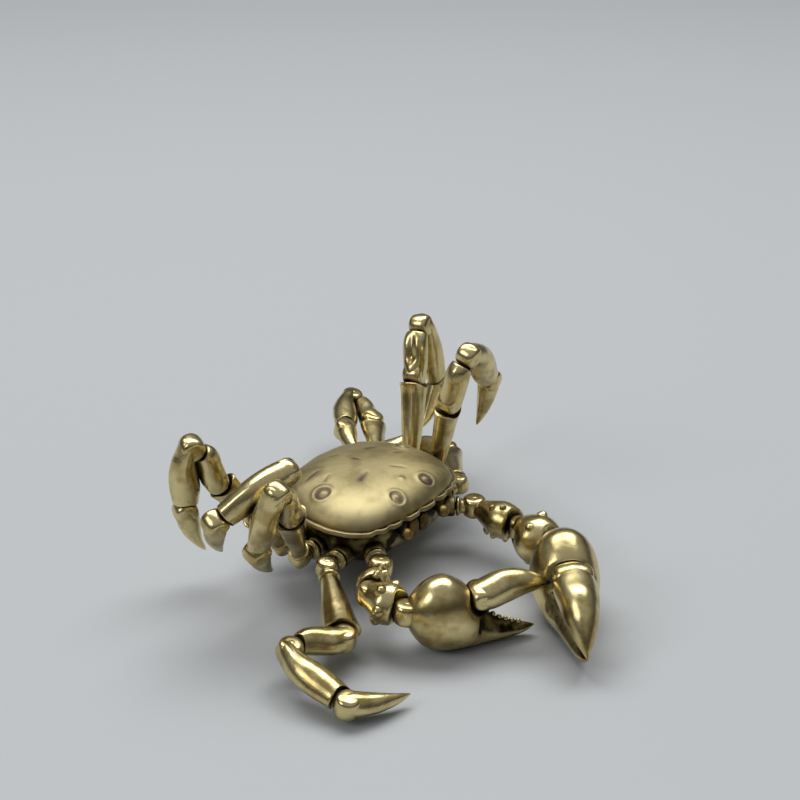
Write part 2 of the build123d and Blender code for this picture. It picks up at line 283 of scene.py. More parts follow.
@dataclass(frozen=True)
class LinkFrame:
    """Where one limb piece lies at rest, in millimetres.

    Attributes:
        origin: its near pin.
        x: unit vector along the piece, towards its far pin or tip.
        z: unit vector along its near hinge pin.
        length: from the near pin to the far pin or tip.
    """

    origin: Array
    x: Array
    z: Array
    length: float

    @property
    def y(self) -> Array:
        """Unit vector square to the piece in its own plane."""
        return np.cross(self.z, self.x)

    def point(self, along: float, lift: float = 0.0, side: float = 0.0) -> Array:
        """Gives a point of the piece from its own coordinates."""
        return self.origin + self.x * along + self.y * lift + self.z * side

    def local(self, point: Array) -> tuple[float, float]:
        """Gives a point's place along the piece and its lift in the piece's plane."""
        away = point - self.origin
        return float(away @ self.x), float(away @ self.y)


@dataclass(frozen=True)
class Station:
    """A cross-section of a swept body, in millimetres.

    Attributes:
        along: place along the piece.
        lift: shift of its middle in the piece's plane.
        width: half width in the piece's plane.
        thick: half thickness along the hinge.
        keel: zero for a round section, one for sharp edges.
        trough: how deep the upper edge is hollowed, as a share of the width.
    """

    along: float
    lift: float
    width: float
    thick: float
    keel: float = 0.3
    trough: float = 0.0

    def numbers(self) -> Array:
        """Gives the fields as one row."""
        return np.array([self.along, self.lift, self.width, self.thick, self.keel, self.trough])


def sides(along: float, low: float, high: float, thick: float, keel: float = 0.3,
          trough: float = 0.0) -> Station:
    """Gives a station from how far it reaches to its lower and upper side."""
    return Station(along, (high - low) / 2, (high + low) / 2, thick, keel, trough)


class Sculpt:
    """Gathers the skins of one piece and turns them into an object."""

    def __init__(self, name: str, body: str) -> None:
        """Starts an empty piece.

        Args:
            name: the object's name.
            body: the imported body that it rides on.
        """
        self.name = name
        self.body = body
        self.points: list[Array] = []
        self.dark: list[float] = []
        self.faces: list[tuple[int, ...]] = []

    def rings(self, rings: Sequence[Ring], dark: Sequence[float | Sequence[float]] | None = None
              ) -> None:
        """Adds a skin over closed rings with the same number of points, capped at both ends.

        Args:
            rings: the rings in order.
            dark: patina and painted shade of each ring, as one number or one for each of its
                points.
        """
        start, count = len(self.dark), len(rings[0])
        for ring, shade in zip(rings, dark or [0.0] * len(rings)):
            self.points.append(np.asarray(ring))
            self.dark.extend(np.broadcast_to(shade, count).tolist())
        for base in range(start, start + (len(rings) - 1) * count, count):
            for i in range(count):
                j = (i + 1) % count
                self.faces.append((base + i, base + j, base + count + j, base + count + i))
        last = start + (len(rings) - 1) * count
        self.faces.append(tuple(reversed(range(start, start + count))))
        self.faces.append(tuple(range(last, last + count)))

    def disc(self, centre: Array, axis: Array, profile: Profile, dark: float = 0.0,
             count: int = 32) -> None:
        """Adds a turned form.

        Args:
            centre: where its heights start.
            axis: its axis.
            profile: pairs of height and radius.
            dark: its patina.
            count: points round it.
        """
        axis = axis / np.linalg.norm(axis)
        across = np.cross(axis, [0.31, 0.17, 0.94])
        across /= np.linalg.norm(across)
        level = np.cross(axis, across)
        turns = np.linspace(0, 2 * math.pi, count, endpoint=False)
        spokes = np.outer(np.cos(turns), across) + np.outer(np.sin(turns), level)
        self.rings([centre + axis * height + spokes * radius for height, radius in profile],
                   [dark] * len(profile))

    def finish(self, material: bpy.types.Material, slot: Slot, packed: str) -> bpy.types.Object:
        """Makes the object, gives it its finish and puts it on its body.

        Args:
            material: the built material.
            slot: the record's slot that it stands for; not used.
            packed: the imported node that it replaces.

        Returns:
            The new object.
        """
        points = np.vstack(self.points) * MM
        # The figure stands on its lowest points, worn flat there.
        points[:, 2] = np.maximum(points[:, 2], 0.0)
        mesh = bpy.data.meshes.new(self.name)
        mesh.from_pydata([tuple(p) for p in points], [], self.faces)
        mesh.update()
        # The mesh carries its patina and its painted shade as one attribute.
        patina = mesh.attributes.new("patina", "FLOAT", "POINT")
        patina.data.foreach_set("value", np.array(self.dark, np.float32))
        mesh.shade_smooth()
        mesh.materials.append(material)
        made = bpy.data.objects.new(self.name, mesh)
        bpy.context.scene.collection.objects.link(made)
        smooth = made.modifiers.new("smooth", "SUBSURF")
        smooth.levels = smooth.render_levels = 1
        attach(made, self.body)
        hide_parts(packed)
        return made


def section(frame: LinkFrame, row: Array, count: int = 28) -> Ring:
    """Makes one ring of a swept body.

    Args:
        frame: the piece's frame.
        row: the numbers of a station.
        count: points round the ring.

    Returns:
        The ring's points.
    """
    along, lift, width, thick, keel, trough = row
    ring = []
    for turn in np.linspace(0, 2 * math.pi, count, endpoint=False):
        c, s = math.cos(turn), math.sin(turn)
        upper = math.exp(-(math.atan2(abs(s), c) / 0.5) ** 2)
        x = width * c * (1 - trough * upper)
        y = thick * s * abs(s) ** keel
        ring.append(frame.point(along, lift + x, y))
    return np.array(ring)


def swept(frame: LinkFrame, stations: Sequence[Station], caps: tuple[float, float]) -> list[Ring]:
    """Makes the rings of a body that runs smoothly through its stations, with rounded ends.

    Args:
        frame: the piece's frame.
        stations: its cross-sections in order.
        caps: how far each end bulges past its last station.

    Returns:
        The rings in order.
    """
    steps, thinnest = 5, 0.03
    rows = np.array([s.numbers() for s in stations])
    dense = []
    for i in range(len(rows) - 1):
        slope_a = (rows[i + 1] - rows[max(i - 1, 0)]) / 2
        slope_b = (rows[min(i + 2, len(rows) - 1)] - rows[i]) / 2
        for t in np.arange(steps) / steps:
            h = (2 * t**3 - 3 * t**2 + 1, t**3 - 2 * t**2 + t, -2 * t**3 + 3 * t**2, t**3 - t**2)
            dense.append(h[0] * rows[i] + h[1] * slope_a + h[2] * rows[i + 1] + h[3] * slope_b)
    dense.append(rows[-1])
    for row in dense:
        row[2:4] = np.maximum(row[2:4], thinnest)
    ends = []
    for end, sign, bulge in ((dense[0], -1, caps[0]), (dense[-1], 1, caps[1])):
        for share, shrink in ((0.55, 0.88), (0.9, 0.6), (1.0, 0.25)):
            row = end.copy()
            row[0] += sign * bulge * share
            row[2:4] *= shrink
            ends.append(row)
    dense = ends[2::-1] + dense + ends[3:]
    return [section(frame, row) for row in dense]


@dataclass(frozen=True)
class Hinge:
    """A covered joint: a turned drum on one piece, seated in the end of the other, in millimetres.

    Attributes:
        drum: radius of the usual drum.
        half: half its length along the pin.
        seat: gap between the drum and its seat.
        soft: how far in its rounded edges reach.
        head: radius of the peened pin's ends.
        hip: the hip's drum against the usual one.
        hip_half: half the hip drum's length.
        lip: how far the seat's lips reach round the drum, as a share of its radius.
    """

    drum: float = 1.85
    half: float = 1.6
    seat: float = 0.1
    soft: float = 0.55
    head: float = 0.4
    hip: float = 0.88
    hip_half: float = 1.36
    lip: float = 0.6

    def barrel(self, sculpt: Sculpt, frame: LinkFrame, scale: float = 1.0,
               half: float | None = None, soft: float | None = None) -> None:
        """Adds the drum about a pin, with the peened pin's ends on it.

        Args:
            sculpt: the piece that gets it.
            frame: the piece's frame, whose origin is the pin.
            scale: its radius against the usual one.
            half: half its length, where it isn't the usual one.
            soft: reach of its rounded edges, where it isn't the usual one.
        """
        r = self.drum * scale
        t = self.half if half is None else half
        s = self.soft if soft is None else soft
        proud = 0.03
        rim = [(t - s, r * 0.97), (t - 0.36 * s, r * 0.84), (t - 0.04 * s, r * 0.64),
               (t + proud, r * 0.42)]
        sculpt.disc(frame.origin, frame.z,
                    [(-height, radius) for height, radius in reversed(rim)] + [(0.0, r)] + rim)
        rivet = [(0.0, self.head), (0.08, self.head), (0.12, self.head * 0.75), (0.14, 0.08)]
        for sign in (-1, 1):
            sculpt.disc(frame.point(0, 0, sign * (t - 0.05)), frame.z * sign, rivet, count=16)

    def seated(self, rings: Sequence[Ring], frame: LinkFrame, scale: float = 1.0) -> list[Ring]:
        """Pushes rings out of the far drum's way.

        Args:
            rings: the piece's rings.
            frame: the piece's frame, whose far pin carries the other piece's drum.
            scale: the drum's size against the usual one.

        Returns:
            The rings, hollowed where the drum sits.
        """
        reach = self.drum * scale + self.seat
        lip = self.lip * reach
        dented = []
        for ring in rings:
            out = ring.copy()
            for number, point in enumerate(ring):
                x, y = frame.local(point)
                away = x - frame.length
                if away ** 2 + y * y < reach * reach or (away > -lip and abs(y) < reach):
                    seat = frame.length - math.sqrt(max(reach * reach - y * y, lip ** 2))
                    out[number] = point - frame.x * max(0.0, x - seat)
            dented.append(out)
        return dented


@dataclass
class Limb:
    """One limb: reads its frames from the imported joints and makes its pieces.

    Attributes:
        name: the limb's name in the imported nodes.
        packed: the loaded frame.
        hinge: its joints' sizes.
        collar: profile of the collar that turns against the body's socket.
        shank: profile of the shank in the socket.
        neck: half width of the neck between collar and hip.
    """

    name: str
    packed: dict[str, Any] = field(repr=False)
    hinge: Hinge = Hinge()
    collar: Profile = ((0.1, 0.7), (0.1, 1.3), (0.2, 1.5), (0.42, 1.58), (0.62, 1.5), (0.7, 1.3),
                       (0.78, 1.2), (1.05, 1.2))
    shank: Profile = ((-1.5, 0.65), (0.6, 0.65), (1.1, 0.62))
    neck: float = 1.1
    parts: ClassVar[tuple[str, ...]] = ()

    def __post_init__(self) -> None:
        """Works out the limb's pins and one frame for each of its pieces."""
        found = [j for j in self.packed["joints"] if j["name"].startswith(self.name + "_")]
        self.pins = [np.array(j["pos_m"]) / MM for j in found]
        axes = [np.array(j["axis"], float) for j in found]
        # The first joint is the swivel, so the coxa's own hinge is the second one's.
        axes[0] = axes[1]
        tip = self._far_point(self.packed["nodes"][f"{self.name}_{self.parts[-1]}"], self.pins[-1])
        self.frames: list[LinkFrame] = []
        for start, end, axis in zip(self.pins, [*self.pins[1:], tip], axes):
            reach = float(np.linalg.norm(end - start))
            self.frames.append(LinkFrame(start, (end - start) / reach, axis, reach))

    @staticmethod
    def _far_point(thing: bpy.types.Object, start: Array) -> Array:
        """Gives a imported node's point farthest from its pin."""
        points = np.array([v.co for v in thing.data.vertices]) / MM
        return points[np.argmax(np.linalg.norm(points - start, axis=1))]

    def sculpt(self, part: str) -> Sculpt:
        """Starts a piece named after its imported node."""
        return Sculpt(f"{self.name}_{part}_cast", f"{self.name}_{part}")

    def coxa(self) -> Sculpt:
        """Makes the collar and neck that turn in the body's socket."""
        sculpt, root = self.sculpt("coxa"), self.frames[0]
        sculpt.disc(root.origin, root.x, self.collar, 0.1)
        sculpt.disc(root.origin, root.x, self.shank, 0.6)
        neck = [Station(along, 0, self.neck + swell, self.neck, 0.0)
                for along, swell in ((0.6, 0.05), (0.95, 0.1), (1.5, 0.15))]
        sculpt.rings(self.hinge.seated(swept(root, neck, (0.05, 0.05)), root, self.hinge.hip))
        return sculpt


@dataclass(frozen=True)
class Girth:
    """How full a walking leg's pieces are against the front right one, and how deep its trough."""

    stem: float = 1.0
    merus: float = 1.0
    propodus: float = 1.0
    trough: float = 0.0


GIRTHS = {
    "leg_r1": Girth(1.04, 1.0, 1.0), "leg_r2": Girth(0.9, 0.8, 0.88),
    "leg_r3": Girth(0.9, 0.86, 0.98), "leg_r4": Girth(0.85, 0.9, 0.95),
    "leg_l1": Girth(0.85, 0.88, 0.88), "leg_l2": Girth(0.95, 0.95, 1.0),
    "leg_l3": Girth(1.08, 1.02, 0.9, 0.42), "leg_l4": Girth(0.8, 0.85, 0.88)}


@dataclass
class WalkingLeg(Limb):
    """A walking leg: coxa, stem, merus, propodus and dactylus.

    Attributes:
        usual_stem: length of the stem that the other sizes go with.
        ankle: profile of the turned ring round the stem near the hip.
        bulge: how far a piece's round root reaches behind its pin's station.
    """

    usual_stem: float = 14.8
    ankle: Profile = ((1.85, 0.9), (1.88, 1.3), (2.0, 1.52), (2.25, 1.6), (2.5, 1.52),
                      (2.62, 1.3), (2.65, 0.9))
    bulge: float = 1.2
    parts: ClassVar[tuple[str, ...]] = ("coxa", "stem", "merus", "propodus", "dactylus")

    def __post_init__(self) -> None:
        """Adds the leg's own size and girth to its frames."""
        super().__post_init__()
        self.size = self.frames[1].length / self.usual_stem
        self.girth = GIRTHS[self.name]

    def stem(self) -> Sculpt:
        """Makes the long tapered shaft with a turned ring near the hip and a flare at the knee."""
        sculpt, link = self.sculpt("stem"), self.frames[1]
        g, t, end = self.girth.stem, self.girth.trough, link.length
        body = [sides(0.4, 1.1, 1.1, 1.1, 0.0), sides(2.4, 1.25, 1.25, 1.25, 0.1),
                sides(4.0, 1.4 * g, 1.4 * g, 1.4 * g, 0.25, t * 0.6),
                sides(7.6, 1.95 * g, 1.95 * g, 1.65 * g, 0.35, t),
                sides(end - 3.6, 2.4 * g, 2.4 * g, 1.8 * g, 0.35, t),
                sides(end - 2.2, 2.6 * g, 2.65 * g, 1.9 * g, 0.25, t * 0.7),
                sides(end - 1.35, 2.7 * g, 2.85 * g, 2.0 * g, 0.12)]
        sculpt.rings(self.hinge.seated(swept(link, body, (0.15, 0.25)), link))
        sculpt.disc(link.origin, link.x, self.ankle)
        self.hinge.barrel(sculpt, link, self.hinge.hip, self.hinge.hip_half)
        return sculpt

    def merus(self) -> Sculpt:
        """Makes the short domed piece, slim where the elbow folds."""
        sculpt, link = self.sculpt("merus"), self.frames[2]
        k, g, t = self.size, self.girth.merus, self.girth.trough
        body = [sides(-0.4, 1.7, 1.75, 1.7, 0.0), sides(0.9, 1.9, 2.0, 1.85, 0.05),
                sides(2.4 * k, 1.85 * g, 2.45 * g, 1.95 * g, 0.15, t),
                sides(4.0 * k, 1.3 * g, 2.9 * g, 2.05 * g, 0.25, t),
                sides(5.5 * k, 0.8, 2.85 * g, 1.95 * g, 0.25, t * 0.8),
                sides(link.length - 1.45, 0.6, 2.35 * g, 1.75 * g, 0.15)]
        sculpt.rings(self.hinge.seated(swept(link, body, (self.bulge, 0.2)), link))
        self.hinge.barrel(sculpt, link)
        return sculpt

    def propodus(self) -> Sculpt:
        """Makes the long keeled piece whose round back covers the elbow."""
        sculpt, link = self.sculpt("propodus"), self.frames[3]
        k, g = self.size, self.girth.propodus
        body = [sides(-0.4, 0.9, 1.9, 1.7, 0.0), sides(0.9, 0.7, 2.4 * g, 1.9, 0.1),
                sides(2.6 * k, 0.75, 2.9 * g, 2.05 * g, 0.2),
                sides(5.0 * k, 1.5 * g, 3.15 * g, 2.2 * g, 0.3),
                sides(7.4 * k, 1.95 * g, 2.85 * g, 2.05 * g, 0.3),
                sides(9.2 * k, 1.95 * g, 2.4 * g, 1.85 * g, 0.25),
                sides(link.length - 1.5, 1.9 * g, 2.15 * g, 1.75 * g, 0.15)]
        sculpt.rings(self.hinge.seated(swept(link, body, (self.bulge, 0.2)), link))
        self.hinge.barrel(sculpt, link)
        return sculpt

    def dactylus(self) -> Sculpt:
        """Makes the curved, pointed toe, thick at its root."""
        sculpt, link = self.sculpt("dactylus"), self.frames[4]
        k, g = self.size, self.girth.propodus
        body = [sides(-0.4, 1.7, 1.75, 1.65, 0.0), sides(0.9, 1.75, 1.9 * g, 1.75, 0.1),
                sides(2.4 * k, 1.45, 2.0 * g, 1.6, 0.25), sides(4.4 * k, 0.9, 1.8 * g, 1.35, 0.3),
                sides(6.6 * k, 0.42, 1.15 * g, 0.9, 0.3), sides(8.2 * k, 0.3, 0.45, 0.42, 0.2),
                Station(link.length - 0.1, -0.1, 0.1, 0.1, 0.1)]
        sculpt.rings(swept(link, body, (self.bulge, 0.06)))
        self.hinge.barrel(sculpt, link)
        return sculpt

    def build(self) -> list[Sculpt]:
        """Makes all pieces of the leg, from the body outwards."""
        return [self.coxa(), self.stem(), self.merus(), self.propodus(), self.dactylus()]


@dataclass
class ClawArm(Limb):
    """A claw arm: coxa, merus, carpus, palm with its fixed finger, and the moving finger.

    Attributes:
        usual_merus: length of the merus that the other sizes go with.
        finger_lift: how far above the wrist the finger's pin is.
        reach: from the wrist to the finger's root.
        drum: radius of the palm's hollow for the finger's root.
        stain: painted shade inside the claw's mouth.
        arm_spines: place and bearing of each spine on the merus.
        knob_spines: place and bearing of each spine on the carpus.
        palm_rows: along, lift, half height, half thickness and keel of the palm.
        finger_rows: the same of the moving finger.
        teeth: place and lift of each tooth on the fixed finger.
    """

    usual_merus: float = 7.6
    finger_lift: float = 2.6
    reach: float = 11.7
    drum: float = 1.95
    stain: float = 0.9
    arm_spines: Places = ((2.9, 70), (4.4, 55), (5.6, 80), (4.0, -60), (5.2, -75))
    knob_spines: Places = ((3.1, 60), (3.3, -55), (2.6, 120), (3.4, 180), (2.4, -120))
    palm_rows: tuple[tuple[float, ...], ...] = (
        (0.3, 0, 1.9, 1.8, 0.0), (1.3, 0, 3.4, 2.8, 0.0), (2.7, 0, 4.9, 3.6, 0.0),
        (4.8, 0, 5.7, 4.1, 0.0), (7.0, -0.4, 5.3, 4.0, 0.0), (8.6, -0.95, 4.6, 3.55, 0.0),
        (9.8, -1.55, 3.85, 3.0, 0.0), (11.0, -2.2, 3.0, 2.4, 0.05),
        (12.8, -2.85, 2.05, 1.8, 0.15), (15.2, -3.0, 1.35, 1.25, 0.2),
        (17.6, -2.8, 0.78, 0.75, 0.15), (18.95, -2.5, 0.14, 0.14, 0.1))
    finger_rows: tuple[tuple[float, ...], ...] = (
        (-0.5, 0.0, 1.75, 2.1, 0.0), (1.3, 0.15, 2.3, 2.6, 0.05), (3.6, 0.75, 2.5, 2.4, 0.15),
        (6.2, 0.95, 1.95, 1.85, 0.2), (8.4, 0.55, 1.2, 1.1, 0.2))
    teeth: Places = ((11.6, 0.35), (12.6, -0.35), (13.6, -0.85), (14.6, -1.2), (15.6, -1.5),
                      (16.6, -1.7))
    parts: ClassVar[tuple[str, ...]] = ("coxa", "merus", "carpus", "palm", "finger")

    def __post_init__(self) -> None:
        """Adds the palm's own frames, which run to the fixed finger and not to the pin."""
        super().__post_init__()
        k = self.size = self.frames[1].length / self.usual_merus
        wrist, z = self.pins[3], self.frames[3].z
        self.up = z if z[2] > 0 else -z
        across = self.pins[4] - wrist - self.up * self.finger_lift * k
        x = across / np.linalg.norm(across)
        self.palm_frame = LinkFrame(wrist, x, z, self.reach * k)
        self.tall = LinkFrame(wrist, x, np.cross(x, self.up), self.reach * k)

    @staticmethod
    def spine(sculpt: Sculpt, link: LinkFrame, along: float, turn: float, foot: float,
              radius: float) -> None:
        """Adds a blunt spine that stands out of a piece.

        Args:
            sculpt: the piece.
            link: its frame.
            along: place along it.
            turn: bearing about its length in degrees, from its own Y.
            foot: how far out its foot is.
            radius: radius of its foot.
        """
        sunk, rise = 0.5, 0.7
        t = math.radians(turn)
        way = link.y * math.cos(t) + link.z * math.sin(t)
        sculpt.disc(link.point(along) + way * (foot - sunk), way,
                    [(0.0, radius * 1.1), (sunk, radius), (sunk + rise * 0.45, radius * 0.72),
                     (sunk + rise * 0.85, radius * 0.4), (sunk + rise, radius * 0.1)], count=14)

    def merus(self) -> Sculpt:
        """Makes the first arm piece, bulging, with small spines along its upper edge."""
        sculpt, link, k = self.sculpt("merus"), self.frames[1], self.size
        body = [Station(0.4, 0, 1.2, 1.2, 0.0), Station(2.0, 0, 1.75, 1.75, 0.1),
                Station(4.4 * k, 0, 2.45 * k, 2.4 * k, 0.15),
                Station(link.length - 1.45, 0, 2.2 * k, 2.1 * k, 0.1)]
        sculpt.rings(self.hinge.seated(swept(link, body, (0.15, 0.2)), link))
        self.hinge.barrel(sculpt, link)
        for along, turn in self.arm_spines:
            self.spine(sculpt, link, along * k, turn, 2.15 * k, 0.7)
        return sculpt

    def carpus(self) -> Sculpt:
        """Makes the knob between arm and palm, with blunt spines on its outer side."""
        sculpt, link, k = self.sculpt("carpus"), self.frames[2], self.size
        body = [Station(-0.4, 0, 1.75, 1.7, 0.0), Station(1.2, 0, 2.4 * k, 2.4 * k, 0.0),
                Station(link.length * 0.5, 0.1 * k, 3.2 * k, 3.1 * k, 0.05),
                Station(link.length - 1.3, 0, 2.5 * k, 2.5 * k, 0.0)]
        sculpt.rings(self.hinge.seated(swept(link, body, (1.1, 0.25)), link))
        self.hinge.barrel(sculpt, link)
        for along, turn in self.knob_spines:
            self.spine(sculpt, link, along * k, turn, 2.85 * k, 0.95)
        return sculpt

    def palm(self) -> Sculpt:
        """Makes the tall bulging palm that runs on into the fixed finger."""
        sculpt, link, k = self.sculpt("palm"), self.tall, self.size
        body = [Station(a * k, lift * k, w * k, t * k, keel)
                for a, lift, w, t, keel in self.palm_rows]
        rings = [self._hollowed(ring) for ring in swept(link, body, (0.2, 0.1))]
        # The claw's mouth gets painted shade.
        sculpt.rings(rings, [self._mouth_stain(ring) for ring in rings])
        self.hinge.barrel(sculpt, self.palm_frame)
        tooth = [(0.0, 0.5 * k), (0.3 * k, 0.42 * k), (0.5 * k, 0.25 * k), (0.58 * k, 0.06)]
        for along, lift in self.teeth:
            sculpt.disc(link.point(along * k, (lift - 0.35) * k), link.y, tooth, count=12)
        return sculpt

    def _hollowed(self, ring: Ring) -> Ring:
        """Moves a palm ring's points out of the way of the finger's root.

        Args:
            ring: the ring as swept.

        Returns:
            The ring with its points behind or below the root.
        """
        link = self.tall
        x0, y0 = link.local(self.pins[4])
        reach = self.drum * self.size + self.hinge.seat
        out = ring.copy()
        for number, point in enumerate(ring):
            x, y = link.local(point)
            dx, dy = x - x0, y - y0
            wall = math.sqrt(max(reach * reach - dy * dy, (0.45 * reach) ** 2))
            if dy > 0 and dx > -wall:
                out[number] = point - link.x * (dx + wall)
            elif dx * dx + dy * dy < reach * reach:
                out[number] = point - link.y * (dy + math.sqrt(reach * reach - dx * dx))
        return out

    def _mouth_stain(self, ring: Ring) -> list[float]:
        """Gives the painted shade of each point of a palm ring: dark inside the claw's mouth.

        Args:
            ring: the hollowed ring.

        Returns:
            One number for each point.
        """
        link, k = self.tall, self.size
        x0, y0 = link.local(self.pins[4])
        centre = link.local(ring.mean(0))[1]
        places = [link.local(point) for point in ring]
        return [self.stain if x > x0 - 1.2 * k and centre + 0.15 * k < y < y0 else 0.0
                for x, y in places]

    def finger(self) -> Sculpt:
        """Makes the moving finger, thick at its root and hooked at its tip."""
        sculpt, link, k = self.sculpt("finger"), self.frames[4], self.size
        sign = 1.0 if float(np.dot(link.y, self.up)) > 0 else -1.0
        body = [Station(a * k, sign * lift * k, w * k, t * k, keel)
                for a, lift, w, t, keel in self.finger_rows]
        body.append(Station(link.length - 0.12, 0, 0.14, 0.14, 0.1))
        sculpt.rings(swept(link, body, (1.25, 0.1)))
        self.hinge.barrel(sculpt, link, 1.02 * k, 2.3 * k, 1.7 * k)
        return sculpt

    def build(self) -> list[Sculpt]:
        """Makes all pieces of the arm, from the body outwards."""
        return [self.coxa(), self.merus(), self.carpus(), self.palm(), self.finger()]


@dataclass(frozen=True)
class Shell:
    """The domed carapace, in millimetres about the body's own centre.

    Attributes:
        rim: underside of the rim above the floor.
        middle: the body's centre in the shared frame.
        half_width: half its width.
        front: from the middle of its length to the brow or tail.
        thickness: the rim's thickness.
        rise: crown above the rim.
        toothed: share of the outline beyond which the brow's teeth show.
        foot: the dome's outline against the rim's.
        dome_rings: rings of the dome.
        across: outline's places across, from the brow to the tail, as shares.
        back: the same outline's places along.
        notches: place, width and depth of each pair of cuts between the brow's teeth.
        bosses: place and radius of each ringed boss.
        marks: each dark mark's start, end and half width.
        bead: place of the small bead on the brow.
    """

    rim: float
    middle: tuple[float, float]
    half_width: float = 13.3
    front: float = 11.2
    thickness: float = 0.7
    rise: float = 4.0
    toothed: float = 0.9
    foot: float = 0.948
    dome_rings: int = 44
    across: tuple[float, ...] = (0.0, 0.2, 0.4, 0.6, 0.8, 0.93, 1.0, 1.0, 0.97, 0.86, 0.66, 0.38,
                                 0.0)
    back: tuple[float, ...] = (0.0, 0.0, 0.01, 0.03, 0.08, 0.18, 0.32, 0.45, 0.6, 0.76, 0.89,
                               0.97, 1.0)
    notches: tuple[tuple[float, float, float], ...] = (
        (0.0, 0.5, 0.7), (3.9, 0.55, 1.0), (6.9, 0.4, 0.6), (9.2, 0.4, 0.5))
    bosses: tuple[tuple[float, float, float], ...] = (
        (-2.9, -8.6, 0.62), (4.0, -8.5, 0.62), (-9.3, 0.2, 0.7), (9.3, 0.2, 0.7))
    marks: tuple[tuple[float, ...], ...] = (
        (-3.9, -2.6, -1.9, -2.0, 0.62), (-7.7, 4.6, -5.4, 4.5, 0.36),
        (-7.0, 1.7, -5.6, 2.2, 0.3), (-1.0, 6.0, 0.0, 5.5, 0.32), (0.2, 2.4, 0.5, 1.6, 0.3),
        (2.2, -3.5, 3.2, -4.8, 0.3), (4.2, 3.2, 5.6, 2.4, 0.36), (5.9, -1.0, 7.2, -1.6, 0.36))
    bead: tuple[float, float] = (0.8, -6.5)

    def outline(self, count: int) -> Array:
        """Makes the outline from the brow round the left side.

        Args:
            count: how many points it gets.

        Returns:
            Evenly parted points about the body's centre.
        """
        half = np.array([(a * self.half_width, (b - 0.5) * 2 * self.front)
                         for a, b in zip(self.across, self.back)])
        loop = np.vstack([half, (half[1:-1] * [-1, 1])[::-1], half[:1]])
        steps = np.r_[0, np.cumsum(np.linalg.norm(np.diff(loop, axis=0), axis=1))]
        spare, rounds = 4, 24
        at = np.linspace(0, steps[-1], spare * count, endpoint=False)
        dense = np.stack([np.interp(at, steps, loop[:, i]) for i in (0, 1)], 1)
        for _ in range(rounds):
            dense = (np.roll(dense, 1, 0) + 2 * dense + np.roll(dense, -1, 0)) / 4
        return dense[::spare]

    def notch(self, x: float, y: float) -> float:
        """Gives how far the rim draws in between the brow's teeth at a place."""
        brow, depth = -8.0, 0.9
        if y > brow:
            return 0.0
        return depth * sum(share * math.exp(-((abs(x) - place) / wide) ** 2)
                           for place, wide, share in self.notches)

    def relief(self, x: float, y: float) -> tuple[float, float]:
        """Gives the shell's bosses and marks at a place.

        Args:
            x: place across, from the body's centre.
            y: place along.

        Returns:
            Height above the plain dome, and patina with a painted dark reflection on the bosses.
        """
        height, dark = 0.0, 0.0
        for bx, by, radius in self.bosses:
            # A low dome, a groove round it and a raised ring round both; patina darkens the groove
            # and a painted dark reflection the dome's middle.
            d = math.hypot(x - bx, y - by) / radius
            height += 0.3 * math.exp(-(d / 0.8) ** 2) + 0.2 * math.exp(-((d - 2.0) / 0.42) ** 2)
            height -= 0.16 * math.exp(-((d - 1.35) / 0.35) ** 2)
            dark += math.exp(-((d - 1.35) / 0.36) ** 2) + 0.35 * math.exp(-(d / 0.8) ** 2)
        for ax, ay, bx, by, wide in self.marks:
            # A shallow dent, dark inside, that narrows towards its end.
            run = (bx - ax) ** 2 + (by - ay) ** 2
            share = ((x - ax) * (bx - ax) + (y - ay) * (by - ay)) / run
            share = max(0.0, min(1.0, share))
            d = math.hypot(x - ax - share * (bx - ax), y - ay - share * (by - ay)) / wide
            dark += 0.85 * math.exp(-(d / (1 - 0.55 * share)) ** 2)
            height -= 0.06 * math.exp(-d * d)
        height += 0.22 * math.exp(-((x - self.bead[0]) ** 2 + (y - self.bead[1]) ** 2) / 0.14)
        return height, dark

    def ring(self, edge: Array, share: float, height: float, carved: bool
             ) -> tuple[Ring, list[float]]:
        """Makes one ring of the skin.

        Args:
            edge: the outline.
            share: the ring's size against it.
            height: its height above the floor.
            carved: whether it lies on the dome, with its relief.

        Returns:
            The ring's points and their patina, with the bosses' painted dark reflection.
        """
        points, dark = [], []
        for x, y in edge:
            pull = self.notch(x, y) if share > self.toothed and not carved else 0.0
            near = share * (1 - pull / math.hypot(x, y))
            lift, shade = self.relief(x * near, y * near) if carved else (0.0, 0.0)
            points.append((self.middle[0] + x * near, self.middle[1] + y * near, height + lift))
            dark.append(shade)
        return np.array(points), dark

    def build(self) -> Sculpt:
        """Makes the whole carapace as one closed skin."""
        sculpt = Sculpt("carapace_cast", "shell")
        edge = self.outline(180)
        top = self.rim + self.thickness
        skin = [self.ring(edge, share, height, False) for share, height in (
            (0.3, self.rim), (0.8, self.rim), (0.985, self.rim), (1.0, self.rim + 0.12),
            (1.0, top + 0.02), (0.988, top + 0.14), (0.972, top + 0.12), (0.958, top - 0.06))]
        smallest, sunk = 0.015, 0.07
        for step in range(self.dome_rings):
            turn = 0.5 * math.pi * (step / (self.dome_rings - 1)) ** 0.92
            k = math.cos(turn) * (1 - smallest) + smallest
            height = top - sunk + self.rise * (1 - k**2.5) ** 0.5
            skin.append(self.ring(edge, self.foot * k, height, True))
        sculpt.rings([points for points, _ in skin], [dark for _, dark in skin])
        return sculpt


